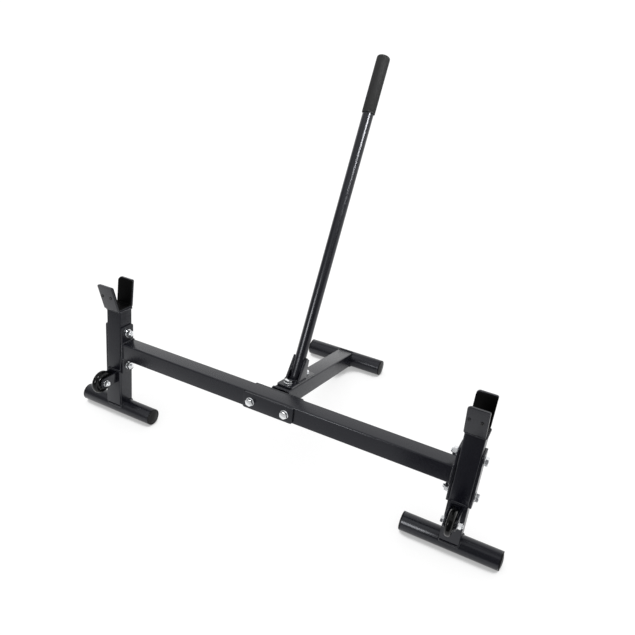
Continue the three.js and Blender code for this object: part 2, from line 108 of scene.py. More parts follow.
# Bar cradles
CRADLE_SIDE_OVERHANG = 0.5 * MM
CRADLE_SIDE_SHIFT = -1.3 * MM
CRADLE_PLATE = 5 * MM
WING_HEIGHT = 72 * MM
FRONT_OVERHANG = 4.5 * MM
REAR_OVERHANG = 3.5 * MM
FRONT_WING_SLOPE = math.radians(18.5)
REAR_WING_SLOPE = math.radians(4.5)
WING_CORNER_LEFT = 7 * MM
WING_CORNER_RIGHT = 3.5 * MM
OUTER_BEND = 7.5 * MM
INNER_BEND = 2.5 * MM
LINER_THICKNESS = 3 * MM
LINER_TOP_SETBACK = 2 * MM
LINER_BEND_OUTER = 4 * MM
LINER_BEND_INNER = 1.5 * MM
SCREW_SPACING = 26 * MM
SCREW_SHIFT = -2.6 * MM
SCREW_HEIGHT = 39.5 * MM
SCREW_HEAD_DIAMETER = 7 * MM
SCREW_HEAD_HEIGHT = 1.5 * MM
SCREW_SOCKET = 3.2 * MM

# Transport wheels and brackets
WHEEL_DIAMETER = 57.9 * MM
TYRE_WIDTH = 14.5 * MM
TYRE_EDGE_SHARE = 0.42
TYRE_EDGE_STEPS = 12
TYRE_BORE_RADIUS = 19 * MM
HUB_PROUD = 1.5 * MM
HUB_BOSS_RADIUS = 12 * MM
HUB_RIM_SHARE = 0.45
HUB_WEB_SHARE = 0.45
SLEEVE_RADIUS = 6 * MM
AXLE_HEIGHT = 98 * MM
AXLE_FORWARD = 66 * MM
FORK_SIDE_GAP = 1 * MM
EAR_THICKNESS = 4 * MM
EAR_TIP_RADIUS = 14 * MM
WEB_THICKNESS = 4 * MM
WEB_TOP_MARGIN = 3.3 * MM
WEB_FOOT_HEIGHT = 15.5 * MM
BRACKET_EDGE = 1.2 * MM

# Lever
LEVER_DIAMETER = 26.9 * MM
LEVER_LENGTH = 796.5 * MM
LEVER_TILT = math.radians(13.5)
LEVER_PLATE_SETBACK = 16.5 * MM
LEVER_FOOT_AHEAD = 11 * MM
GUSSET_THICKNESS = 5 * MM
GUSSET_HEIGHT = 57 * MM
GUSSET_BASE_AHEAD = 15 * MM
GUSSET_BASE_BEHIND = 25 * MM
GUSSET_TOP_BEHIND = 12 * MM
GUSSET_TOP_DROP = 8 * MM
GRIP_WALL = 2.2 * MM
GRIP_FIT = 0.3 * MM
GRIP_LENGTH = 138 * MM
GRIP_END = 6.8 * MM
GRIP_END_STEPS = 10
GRIP_LIP = 1.2 * MM

# Weld beads
BEAD_RADIUS = 2.6 * MM
THIN_BEAD_RADIUS = 1.7 * MM
BEAD_PITCH = 2.4 * MM
BEAD_STEP = 0.6 * MM
FOOT_BEAD_RADIUS = 1.2 * BEAD_RADIUS
BEAD_LEAST_SHARE = 0.86
BEAD_RIPPLE_SHARE = 0.16
BEAD_UNEVEN_SHARE = 0.10
BEAD_UNEVEN_SCALE = 140
BEAD_END_SHARE = 0.35
BEAD_END_GROWTH = 0.25
SEAM_HEIGHTS = (0.3 * GUSSET_HEIGHT, 0.92 * GUSSET_HEIGHT)
SEAM_SHIFT_SHARE = 0.42

# Numbers of faces round a full turn and a quarter turn, and how meshes are finished
ROUND_SIDES = 96
SMALL_SIDES = 48
CORNER_STEPS = 8
EDGE_STEPS = 3
BEAD_SIDES = 12
SMOOTH_ANGLE = math.radians(32)
LEAST_MITRE = 0.3
SAME_POINT = 1e-7

# Values worked out from the sizes above
HALF_TUBE = TUBE_SIDE / 2
FOOT_RADIUS = ROUND_TUBE_DIAMETER / 2
HOLE_OFFSET = PLATE_LENGTH / 2 - PLATE_HOLE_INSET
PLATE_STACK = SEAT_GAP + PLATE_THICKNESS
CLAMP_GRIP = TUBE_SIDE + 2 * PLATE_STACK
UPRIGHT_CENTRE = UPRIGHT_SPAN / 2 + HALF_TUBE
BEAM_LENGTH = UPRIGHT_SPAN - 2 * (PLATE_STACK + SEAT_GAP)
LEG_START = HALF_TUBE + PLATE_STACK + SEAT_GAP
REAR_BAR_Y = LEG_START + LEG_REACH * math.cos(LEG_SLOPE)
REAR_BAR_Z = BEAM_HEIGHT - LEG_REACH * math.sin(LEG_SLOPE)
LEAN = math.atan2(REAR_BAR_Z, REAR_BAR_Y)
CRADLE_WIDTH = TUBE_SIDE + 2 * CRADLE_SIDE_OVERHANG
HUB_WIDTH = TYRE_WIDTH + 2 * HUB_PROUD
FORK_INNER = HUB_WIDTH + 2 * FORK_SIDE_GAP
FORK_GRIP = FORK_INNER + 2 * EAR_THICKNESS

# The upright frame's place in the row frame: its origin is on the foot tubes' axis, and it leans back
foot_low, foot_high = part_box("foot_left_tube")
FOOT_AXIS = (foot_low + foot_high) / 2
JACK = Matrix.Translation((0, FOOT_AXIS.y, FOOT_AXIS.z)) @ Matrix.Rotation(-LEAN, 4, "X")
SIDES = ((-1, "left"), (1, "right"))


def shift(x=0.0, y=0.0, z=0.0):
    """A move along the three axes."""
    return Matrix.Translation((x, y, z))


def turn(angle, axis):
    """A turn about one axis."""
    return Matrix.Rotation(angle, 4, axis)


# Materials

NOISE_RANGE = (0.3, 0.7)
NOISE_ROUGHNESS = 0.6
CLOUD_DETAIL = 4
GRAIN_DETAIL = 2
GRAIN_DEPTH = 0.15 * MM


def add_node(tree, kind, **inputs):
    """A shader node with some of its sockets set."""
    made = tree.nodes.new(kind)
    for name, value in inputs.items():
        made.inputs[name.replace("_", " ")].default_value = value
    return made


def grain(tree, scale, detail):
    """Fine noise in the object's own metres."""
    place = tree.nodes.new("ShaderNodeTexCoord")
    made = add_node(tree, "ShaderNodeTexNoise", Scale=scale, Detail=detail, Roughness=NOISE_ROUGHNESS)
    tree.links.new(place.outputs["Object"], made.inputs["Vector"])
    return made


def ramp(tree, source, start, end, low, high, kind="SMOOTHSTEP"):
    """A value carried from one range to another."""
    made = tree.nodes.new("ShaderNodeMapRange")
    made.interpolation_type = kind
    for name, value in (("From Min", start), ("From Max", end), ("To Min", low), ("To Max", high)):
        made.inputs[name].default_value = value
    tree.links.new(source, made.inputs["Value"])
    return made.outputs["Result"]


def spread(tree, source, low, high):
    """A noise value stretched to run from low to high."""
    return ramp(tree, source, *NOISE_RANGE, low, high, "LINEAR")


def combined(tree, operation, first, second):
    """Two values added, multiplied or compared. The second may be a plain number."""
    made = tree.nodes.new("ShaderNodeMath")
    made.operation = operation
    tree.links.new(first, made.inputs[0])
    if isinstance(second, float):
        made.inputs[1].default_value = second
    else:
        tree.links.new(second, made.inputs[1])
    return made.outputs["Value"]


def blend_colours(tree, source, first, second):
    """Two colours mixed by a noise value."""
    made = tree.nodes.new("ShaderNodeMix")
    made.data_type = "RGBA"
    made.inputs["A"].default_value = (*first, 1)
    made.inputs["B"].default_value = (*second, 1)
    tree.links.new(source, made.inputs["Factor"])
    return made.outputs["Result"]


def finish_of(name, colours, roughness, grain_scale, bump, metallic=0.0, ior=1.5,
              tint=(1, 1, 1), cloud_scale=9.0):
    """A finish with clouded colour, uneven roughness and a fine grain."""
    made = bpy.data.materials.new(name)
    made.use_nodes = True
    tree = made.node_tree
    shader = tree.nodes["Principled BSDF"]
    shader.inputs["Metallic"].default_value = metallic
    shader.inputs["IOR"].default_value = ior
    shader.inputs["Specular Tint"].default_value = (*tint, 1)
    cloud = grain(tree, cloud_scale, CLOUD_DETAIL).outputs["Fac"]
    fine = grain(tree, grain_scale, GRAIN_DETAIL).outputs["Fac"]
    colour = blend_colours(tree, spread(tree, cloud, 0, 1), *colours)
    tree.links.new(colour, shader.inputs["Base Color"])
    halves = [value / 2 for value in roughness]
    uneven = combined(tree, "ADD", spread(tree, cloud, *halves), spread(tree, fine, *halves))
    tree.links.new(uneven, shader.inputs["Roughness"])
    relief = add_node(tree, "ShaderNodeBump", Strength=bump, Distance=GRAIN_DEPTH)
    tree.links.new(fine, relief.inputs["Height"])
    tree.links.new(relief.outputs["Normal"], shader.inputs["Normal"])
    return made


FINISHES = {
    "powder_coat": dict(
        colours=((0.0052, 0.0054, 0.0090), (0.0070, 0.0072, 0.0115)),
        roughness=(0.21, 0.31), grain_scale=1100, bump=0.24, tint=(0.93, 0.95, 1.0)),
    "zinc": dict(
        colours=((0.74, 0.76, 0.78), (0.95, 0.96, 0.97)),
        roughness=(0.10, 0.24), grain_scale=700, bump=0.15, metallic=1.0, cloud_scale=160),
    "plug_plastic": dict(
        colours=((0.0045, 0.0045, 0.0050), (0.0070, 0.0070, 0.0078)),
        roughness=(0.34, 0.48), grain_scale=900, bump=0.30, ior=1.29),
    "liner_plastic": dict(
        colours=((0.0010, 0.0010, 0.0011), (0.0022, 0.0022, 0.0023)),
        roughness=(0.45, 0.60), grain_scale=600, bump=0.30, ior=1.15),
    "wheel_rubber": dict(
        colours=((0.0015, 0.0015, 0.0017), (0.0030, 0.0030, 0.0032)),
        roughness=(0.05, 0.10), grain_scale=500, bump=0.03, ior=1.31),
    "hub_plastic": dict(
        colours=((0.0050, 0.0050, 0.0055), (0.0080, 0.0080, 0.0085)),
        roughness=(0.22, 0.34), grain_scale=800, bump=0.20),
    "grip_rubber": dict(
        colours=((0.0150, 0.0150, 0.0155), (0.0220, 0.0220, 0.0225)),
        roughness=(0.62, 0.80), grain_scale=1500, bump=0.60, ior=1.4),
    "black_screw": dict(
        colours=((0.0035, 0.0035, 0.0040), (0.0060, 0.0060, 0.0065)),
        roughness=(0.26, 0.38), grain_scale=900, bump=0.20),
}
MATERIALS = {name: finish_of(name, **values) for name, values in FINISHES.items()}


# Outlines


def arc(x, y, radius, start, sweep, steps):
    """The points of an arc, both ends included."""
    angles = [start + sweep * i / steps for i in range(steps + 1)]
    return [Vector((x + radius * math.cos(a), y + radius * math.sin(a))) for a in angles]


def circle(radius, sides):
    """The points of a full circle about the origin."""
    return arc(0, 0, radius, 0, FULL, sides)[:-1]


def rounded_rectangle(width, height, radius):
    """A rectangle with round corners, centred on the origin, listed anticlockwise."""
    x, y = width / 2 - radius, height / 2 - radius
    corners = ((x, y, 0), (-x, y, 1), (-x, -y, 2), (x, -y, 3))
    return [p for cx, cy, k in corners for p in arc(cx, cy, radius, k * QUARTER, QUARTER, CORNER_STEPS)]


def inset(outline, distance):
    """An anticlockwise outline moved inwards by a distance."""
    moved = []
    for i, point in enumerate(outline):
        before = (point - outline[i - 1]).normalized()
        after = (outline[(i + 1) % len(outline)] - point).normalized()
        normal = Vector((-before.y - after.y, before.x + after.x))
        normal.normalize()
        share = max(LEAST_MITRE, normal.dot(Vector((-before.y, before.x))))
        moved.append(point + normal * (distance / share))
    return moved


# Solids


def loft(rings, closed=False):
    """A skin through rings of points, capped at both ends unless it closes on itself."""
    bm = bmesh.new()
    rows = [[bm.verts.new(p) for p in ring] for ring in rings]
    pairs = list(zip(rows, rows[1:]))
    if closed:
        pairs.append((rows[-1], rows[0]))
    else:
        bm.faces.new(rows[0][::-1])
        bm.faces.new(rows[-1])
    for low, high in pairs:
        for i, vertex in enumerate(low):
            k = (i + 1) % len(low)
            bm.faces.new((vertex, low[k], high[k], high[i]))
    return bm


def edge_steps(edge):
    """Pairs of inset and depth for a rounded edge, from the face to the side."""
    angles = [QUARTER * i / EDGE_STEPS for i in range(EDGE_STEPS + 1)]
    return [(edge * (1 - math.sin(a)), edge * (1 - math.cos(a))) for a in angles]


def slab(outline, thickness, edge):
    """A plate from zero up along Z with rounded edges."""
    low = [(d, z) for d, z in edge_steps(edge)]
    high = [(d, thickness - z) for d, z in reversed(low)]
    return loft([[p.to_3d() + Vector((0, 0, z)) for p in inset(outline, d)] for d, z in low + high])


def pipe(outer, inner, low, high, edge):
    """A hollow bar along Z. low and high give each end's height at a point of the section."""
    rings = [[Vector((p.x, p.y, low(p))) for p in inner]]
    for d, z in edge_steps(edge):
        rings.append([Vector((p.x, p.y, low(p) + z)) for p in inset(outer, d)])
    for d, z in reversed(edge_steps(edge)):
        rings.append([Vector((p.x, p.y, high(p) - z)) for p in inset(outer, d)])
    rings.append([Vector((p.x, p.y, high(p))) for p in inner])
    return loft(rings, closed=True)


def revolved(profile, sides):
    """A profile of radius and height turned about Z. A profile off the axis has to close on itself."""
    on_axis = profile[0][0] == 0 and profile[-1][0] == 0
    body = profile[1:-1] if on_axis else profile
    rings = [[Vector((p.x, p.y, z)) for p in circle(r, sides)] for r, z in body]
    if not on_axis:
        return loft(rings, closed=True)
    bm = loft(rings)
    for face, (_, z) in zip([f for f in bm.faces if len(f.verts) == sides], (profile[0], profile[-1])):
        bmesh.ops.poke(bm, faces=[face], center_mode="MEAN")
        bm.verts.ensure_lookup_table()
        bm.verts[-1].co = Vector((0, 0, z))
    return bm


def piece(name, bm, place, material, body="frame", nodes=()):
    """A finished piece in the row frame, riding on a body and standing for its CAD nodes."""
    bm.transform(JACK @ place)
    bmesh.ops.remove_doubles(bm, verts=bm.verts, dist=SAME_POINT)
    bmesh.ops.recalc_face_normals(bm, faces=bm.faces)
    mesh = bpy.data.meshes.new(name)
    bm.to_mesh(mesh)
    bm.free()
    mesh.materials.append(MATERIALS[material])
    mesh.polygons.foreach_set("use_smooth", [True] * len(mesh.polygons))
    mesh.set_sharp_from_angle(angle=SMOOTH_ANGLE)
    made = bpy.data.objects.new(name, mesh)
    bpy.context.scene.collection.objects.link(made)
    if nodes:
        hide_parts(*nodes)
    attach(made, body)
    return made


def joined(*solids):
    """Several solids as one mesh."""
    first = solids[0]
    for other in solids[1:]:
        mesh = bpy.data.meshes.new("part")
        other.to_mesh(mesh)
        other.free()
        first.from_mesh(mesh)
        bpy.data.meshes.remove(mesh)
    return first


# Weld beads


def resampled(path, closed):
    """A path as evenly spaced points."""
    points = path + [path[0]] if closed else path
    lengths = [0.0]
    for a, b in zip(points, points[1:]):
        lengths.append(lengths[-1] + (b - a).length)
    count = max(4, round(lengths[-1] / BEAD_STEP))
    made, k = [], 0
    for i in range(count if closed else count + 1):
        at = lengths[-1] * i / count
        while k < len(points) - 2 and lengths[k + 1] < at:
            k += 1
        share = (at - lengths[k]) / max(lengths[k + 1] - lengths[k], 1e-9)
        made.append(points[k].lerp(points[k + 1], share))
    return made


def bead(path, closed=False, radius=BEAD_RADIUS):
    """A rippled weld bead along a path, half sunk in the corner that it fills."""
    points = resampled(path, closed)
    rings = []
    side = None
    count = len(points)
    for i, point in enumerate(points):
        ahead = points[(i + 1) % count] if closed else points[min(i + 1, count - 1)]
        behind = points[i - 1] if closed else points[max(i - 1, 0)]
        along = (ahead - behind).normalized()
        across = along.orthogonal() if side is None else side - along * side.dot(along)
        side = across.normalized()
        up = along.cross(side)
        ripple = abs(math.sin(math.pi * i * BEAD_STEP / BEAD_PITCH))
        uneven = noise.noise(point * BEAD_UNEVEN_SCALE)
        size = radius * (BEAD_LEAST_SHARE + BEAD_RIPPLE_SHARE * ripple + BEAD_UNEVEN_SHARE * uneven)
        if not closed:
            size *= min(1.0, BEAD_END_SHARE + BEAD_END_GROWTH * min(i, count - 1 - i))
        rings.append([point + (side * p.x + up * p.y) * size for p in circle(1, BEAD_SIDES)])
    return loft(rings, closed=closed)


# Fasteners


def hex_body(size, height, both_ends):
    """A hexagonal head or nut from zero up, with its corners turned off."""
    apothem = size.flats / 2
    crown = apothem * HEX_CHAMFER_SHARE
    sector = math.pi / 3

    def ring(z, chamfer):
        made = []
        for k in range(SMALL_SIDES):
            a = FULL * k / SMALL_SIDES
            r = apothem / math.cos((a % sector) - sector / 2)
            drop = max(0.0, r - crown) * HEX_CHAMFER_SLOPE
            made.append(Vector((r * math.cos(a), r * math.sin(a), z + chamfer * drop)))
        return made

    def disc(z):
        return [Vector((p.x, p.y, z)) for p in circle(crown, SMALL_SIDES)]

    low = [disc(0), ring(0, 1)] if both_ends else [ring(0, 0)]
    return loft(low + [ring(height, -1), disc(height)])


def washer(size):
    """A flat washer from zero up with worn edges."""
    bore, r, t, e = size.diameter / 2, size.washer / 2, size.washer_thickness, CAST_EDGE
    profile = [(bore, 0), (r - e, 0), (r, e), (r, t - e), (r - e, t), (bore + e, t), (bore, t - e)]
    return revolved(profile, SMALL_SIDES)


def threaded_shank(size, low, high):
    """A shank from low to high: its ridges and the tip at the low end."""
    radius = size.diameter / 2
    core = radius - size.thread
    z = low + size.pitch / 2
    profile = [(0, low), (core, low), (core, z)]
    while z + size.pitch < high:
        profile += [(radius, z + size.pitch * share) for share in THREAD_CREST]
        profile += [(core, z + size.pitch)]
        z += size.pitch
    return revolved(profile + [(radius, high), (0, high)], SMALL_SIDES)


def bolt_set(name, place, grip, size=JOINT_BOLT, twist=0.0):
    """A bolt and a nut with washers. The head bears on the origin plane, the nut one grip below it."""
    top = SEAT_GAP + size.washer_thickness
    spin = turn(twist, "Z")
    tip = -(grip + top + size.nut + size.tail)
    head = hex_body(size, size.head, False)
    head.transform(shift(z=top) @ spin)
    ring = washer(size)
    ring.transform(shift(z=SEAT_GAP))
    shank = threaded_shank(size, tip, top)
    piece(f"{name}_bolt_dressed", joined(head, ring, shank), place, "zinc", nodes=[f"{name}_bolt"])

    under = shift(z=-grip) @ turn(math.pi, "X")
    nut = hex_body(size, size.nut, True)
    nut.transform(under @ shift(z=top) @ spin)
    seat = washer(size)
    seat.transform(under @ shift(z=SEAT_GAP))
    piece(f"{name}_nut_dressed", joined(nut, seat), place, "zinc", nodes=[f"{name}_nut"])


# Frame pieces


def square_tube(low, high):
    """Square tube along Z between two end heights."""
    outer = rounded_rectangle(TUBE_SIDE, TUBE_SIDE, TUBE_CORNER)
    bore = TUBE_SIDE - 2 * TUBE_WALL
    inner = rounded_rectangle(bore, bore, TUBE_CORNER - TUBE_WALL)
    return pipe(outer, inner, low, high, CAST_EDGE)


def saddle(point):
    """The height at which a square tube along Z meets a round tube along X below it."""
    reach = FOOT_RADIUS + SEAT_GAP
    return math.sqrt(max(reach ** 2 - point.y ** 2, SADDLE_LIP ** 2))


def joint_plate():
    """A joint plate from zero up along Z, its long side along X."""
    return slab(rounded_rectangle(PLATE_LENGTH, PLATE_WIDTH, PLATE_CORNER), PLATE_THICKNESS, CUT_EDGE)


def tube_line(height):
    """A line round a square tube along Z. height gives its height at a point of the section."""
    outline = rounded_rectangle(TUBE_SIDE, TUBE_SIDE, TUBE_CORNER)
    return [Vector((p.x, p.y, height(p))) for p in outline]


def floor_tube(name, place, length):
    """A round tube along X with a domed plug in each end."""
    lie = place @ turn(QUARTER, "Y")
    ends = (-length / 2, length / 2)
    outer = circle(FOOT_RADIUS, ROUND_SIDES)
    inner = circle(FOOT_RADIUS - ROUND_TUBE_WALL, ROUND_SIDES)
    tube = pipe(outer, inner, lambda p: ends[0], lambda p: ends[1], CAST_EDGE)
    piece(f"{name}_tube_dressed", tube, lie, "powder_coat", nodes=[f"{name}_tube"])
    for side, word in SIDES:
        out = place @ shift(x=side * length / 2) @ turn(side * QUARTER, "Y")
        piece(f"{name}_plug_{word}_dressed", end_plug(), out, "plug_plastic", nodes=[f"{name}_plug_{word}"])


def end_plug():
    """A domed end cap above the origin plane, with a shallow groove inside its rim."""
    top = SEAT_GAP + PLUG_RIM
    spigot = FOOT_RADIUS - 2 * ROUND_TUBE_WALL
    groove = FOOT_RADIUS - PLUG_GROOVE_INSET
    profile = [(0, -PLUG_RIM), (spigot, -PLUG_RIM), (spigot, SEAT_GAP), (FOOT_RADIUS, SEAT_GAP)]
    edge = arc(FOOT_RADIUS - PLUG_EDGE, top - PLUG_EDGE, PLUG_EDGE, 0, QUARTER, PLUG_EDGE_STEPS)
    profile += [tuple(p) for p in edge]
    profile += [(groove + PLUG_GROOVE, top), (groove, top - PLUG_GROOVE), (groove - PLUG_GROOVE, top)]
    start = groove - 2 * PLUG_GROOVE
    for k in range(PLUG_DOME_STEPS + 1):
        share = 1 - k / PLUG_DOME_STEPS
        profile.append((start * share, top + PLUG_DOME * (1 - share ** 2)))
    return revolved(profile, ROUND_SIDES)


def crossbeam():
    """The beam between the uprights, with the welds to its end plates."""
    lie = shift(z=BEAM_HEIGHT) @ turn(QUARTER, "Y")
    end = BEAM_LENGTH / 2
    tube = square_tube(lambda p: -end, lambda p: end)
    piece("crossbeam_dressed", tube, lie, "powder_coat", nodes=["crossbeam"])
    for side, word in SIDES:
        weld = bead(tube_line(lambda p: side * end), closed=True)
        piece(f"crossbeam_weld_{word}", weld, lie, "powder_coat")


def centre_clamp():
    """The plates in front of and behind the beam's middle, with their two bolts."""
    front = shift(y=-(HALF_TUBE + SEAT_GAP), z=BEAM_HEIGHT) @ turn(QUARTER, "X")
    rear = shift(y=HALF_TUBE + SEAT_GAP, z=BEAM_HEIGHT) @ turn(-QUARTER, "X")
    piece("centre_front_plate_dressed", joint_plate(), front, "powder_coat", nodes=["centre_front_plate"])
    piece("leg_end_plate_dressed", joint_plate(), rear, "powder_coat", nodes=["leg_end_plate"])
    for side, word in SIDES:
        place = front @ shift(x=side * HOLE_OFFSET, z=PLATE_THICKNESS)
        twist = math.radians(CENTRE_TWIST + CENTRE_TWIST_STEP * side)
        bolt_set(f"centre_{word}", place, CLAMP_GRIP, twist=twist)


def upright(side, word):
    """An upright with its joint plates and bolts."""
    post = shift(x=side * UPRIGHT_CENTRE)
    tube = square_tube(saddle, lambda p: UPRIGHT_HEIGHT)
    piece(f"upright_{word}_dressed", tube, post, "powder_coat", nodes=[f"upright_{word}"])
    line = tube_line(lambda p: saddle(p) + SADDLE_WELD_RISE)
    weld = bead(line, closed=True, radius=FOOT_BEAD_RADIUS)
    piece(f"upright_{word}_weld", weld, post, "powder_coat")
    for name, facing in (("crossbeam_end_plate", -side), ("backing_plate", side)):
        place = post @ shift(x=facing * (HALF_TUBE + SEAT_GAP), z=BEAM_HEIGHT) @ turn(facing * QUARTER, "Y")
        piece(f"{name}_{word}_dressed", joint_plate(), place, "powder_coat", nodes=[f"{name}_{word}"])
    for level, height in (("lower", -HOLE_OFFSET), ("upper", HOLE_OFFSET)):
        reach = side * (HALF_TUBE + PLATE_STACK)
        place = post @ shift(x=reach, z=BEAM_HEIGHT + height) @ turn(side * QUARTER, "Y")
        twist = math.radians(UPRIGHT_TWIST * side + UPRIGHT_TWIST_PER_METRE * height)
        bolt_set(f"upright_{level}_{word}", place, CLAMP_GRIP, twist=twist)


# Cradles


def wing_path(depth, top, radius):
    """Points of Y and Z from the front wing's top to the rear wing's top, at a depth in the plate."""
    front, rear = FRONT_WING_SLOPE, REAR_WING_SLOPE

    def front_at(z):
        return depth / math.cos(front) - HALF_TUBE - FRONT_OVERHANG - z * math.tan(front)

    def rear_at(z):
        return HALF_TUBE + REAR_OVERHANG + z * math.tan(rear) - depth / math.cos(rear)

    def fillet(corner, before, after):
        a, b = (before - corner).normalized(), (after - corner).normalized()
        half = a.angle(b) / 2
        middle = corner + (a + b).normalized() * (radius / math.sin(half))
        start = corner + a * (radius / math.tan(half))
        end = corner + b * (radius / math.tan(half))
        first = start - middle
        sweep = first.angle_signed(end - middle)
        angles = [-sweep * i / CORNER_STEPS for i in range(CORNER_STEPS + 1)]
        return [middle + Matrix.Rotation(angle, 2) @ first for angle in angles]

    front_top, front_foot = Vector((front_at(top), top)), Vector((front_at(depth), depth))
    rear_foot, rear_top = Vector((rear_at(depth), depth)), Vector((rear_at(top), top))
    front_bend = fillet(front_foot, front_top, rear_foot)
    rear_bend = fillet(rear_foot, front_foot, rear_top)
    return [front_top] + front_bend + rear_bend + [rear_top]


def wing_corner(distance, radius):
    """How far a wing's side stands in at a distance below its top edge."""
    if distance >= radius:
        return 0.0
    return radius - math.sqrt(radius ** 2 - (radius - distance) ** 2)


def bent_plate(depth, thickness, top, bends, edge):
    """A bent strip with rounded wing corners, along the wing path."""
    outer = wing_path(depth, top, bends[0])
    inner = wing_path(depth + thickness, top, bends[1])
    drops = [WING_CORNER_LEFT * (1 - math.cos(QUARTER * i / CORNER_STEPS)) for i in range(CORNER_STEPS + 1)]

    def wing_station(end, inward, drop):
        share = drop / (outer[end] - outer[inward]).length
        return outer[end].lerp(outer[inward], share), inner[end].lerp(inner[inward], share), drop

    stations = [wing_station(0, 1, drop) for drop in drops]
    stations += [(a, b, top) for a, b in zip(outer[1:-1], inner[1:-1])]
    stations += [wing_station(-1, -2, drop) for drop in reversed(drops)]
    rings = []
    for outside, inside, drop in stations:
        left = -CRADLE_WIDTH / 2 + wing_corner(drop, WING_CORNER_LEFT)
        right = CRADLE_WIDTH / 2 - wing_corner(drop, WING_CORNER_RIGHT)
        through = (inside - outside).normalized()
        deep = (inside - outside).length
        section = rounded_rectangle(right - left, deep, edge)
        centre = outside + through * (deep / 2)
        rings.append([Vector(((left + right) / 2 + p.x, *(centre + through * p.y))) for p in section])
    return loft([inset_ring(rings[0], edge)] + rings + [inset_ring(rings[-1], edge)])


def inset_ring(ring, distance):
    """A ring of points drawn towards its middle by about a distance."""
    middle = sum(ring, Vector()) / len(ring)
    return [p + (middle - p).normalized() * min(distance, (middle - p).length * 0.5) for p in ring]


def liner_screw():
    """A small screw above the origin plane. Its head is flat, with a rounded edge and a round socket."""
    radius, height, socket = SCREW_HEAD_DIAMETER / 2, SCREW_HEAD_HEIGHT, SCREW_SOCKET / 2
    shank = [(0, -2 * height), (radius / 2, -2 * height), (radius / 2, 0)]
    rim = [(radius, 0), (radius, height * 0.55), (radius * 0.97, height * 0.8), (radius * 0.90, height)]
    recess = [(socket, height), (socket, -height * 0.6), (0, -height * 0.8)]
    return revolved(shank + rim + recess, SMALL_SIDES)


def cradle(side, word):
    """The bar cradle on an upright: the bent plate, its liner and the liner's screws."""
    base = shift(x=side * UPRIGHT_CENTRE + CRADLE_SIDE_SHIFT, z=UPRIGHT_HEIGHT + SEAT_GAP)
    plate = bent_plate(0, CRADLE_PLATE, WING_HEIGHT, (OUTER_BEND, INNER_BEND), CUT_EDGE)
    piece(f"cradle_{word}_dressed", plate, base, "powder_coat", nodes=[f"cradle_{word}"])
    liner = bent_plate(
        CRADLE_PLATE + SEAT_GAP, LINER_THICKNESS, WING_HEIGHT - LINER_TOP_SETBACK,
        (LINER_BEND_OUTER, LINER_BEND_INNER), CUT_EDGE)
    piece(f"cradle_liner_{word}_dressed", liner, base, "liner_plastic", nodes=[f"cradle_liner_{word}"])
    weld = bead(tube_line(lambda p: -SEAT_GAP), closed=True)
    piece(f"cradle_{word}_weld", weld, base @ shift(x=-CRADLE_SIDE_SHIFT), "powder_coat")
    y = -(HALF_TUBE + FRONT_OVERHANG + SCREW_HEIGHT * math.tan(FRONT_WING_SLOPE))
    for turn_side, turn_word in SIDES:
        x = SCREW_SHIFT + turn_side * SCREW_SPACING / 2
        place = base @ shift(x, y, SCREW_HEIGHT) @ turn(QUARTER + FRONT_WING_SLOPE, "X")
        name = f"liner_screw_{word}_{turn_word}"
        piece(f"{name}_dressed", liner_screw(), place, "black_screw", nodes=[name])


# Wheels


def wheel_bracket(post, word):
    """The bracket on an upright's front: a web with two ears, welded above and below."""
    web_back = HALF_TUBE + SEAT_GAP
    web_front = web_back + WEB_THICKNESS
    web_top = AXLE_HEIGHT + EAR_TIP_RADIUS + WEB_TOP_MARGIN
    web_foot = WEB_FOOT_HEIGHT
    outline = rounded_rectangle(TUBE_SIDE, web_top - web_foot, 2 * BRACKET_EDGE)
    web = slab(outline, WEB_THICKNESS, BRACKET_EDGE)
    web.transform(shift(y=-web_back, z=(web_top + web_foot) / 2) @ turn(QUARTER, "X"))
    ears = []
    for ear_side, _ in SIDES:
        tip = arc(-AXLE_FORWARD, AXLE_HEIGHT, EAR_TIP_RADIUS, QUARTER, math.pi, 3 * CORNER_STEPS)
        root = [
            Vector((-web_front + CUT_EDGE, AXLE_HEIGHT + rise))
            for rise in (-EAR_TIP_RADIUS, EAR_TIP_RADIUS)
        ]
        ear = slab(tip + root, EAR_THICKNESS, CUT_EDGE)
        inner = FORK_INNER / 2 if ear_side > 0 else -FORK_INNER / 2 - EAR_THICKNESS
        ear.transform(shift(x=inner) @ turn(QUARTER, "Z") @ turn(QUARTER, "X"))
        ears.append(ear)
    name = f"wheel_bracket_{word}"
    piece(f"{name}_dressed", joined(web, *ears), post, "powder_coat", nodes=[name])
    reach = HALF_TUBE - 2 * BRACKET_EDGE
    for level, height in (("top", web_top), ("foot", web_foot)):
        line = [Vector((x, -web_back, height)) for x in (-reach, reach)]
        weld = bead(line, radius=THIN_BEAD_RADIUS)
        piece(f"{name}_weld_{level}", weld, post, "powder_coat")


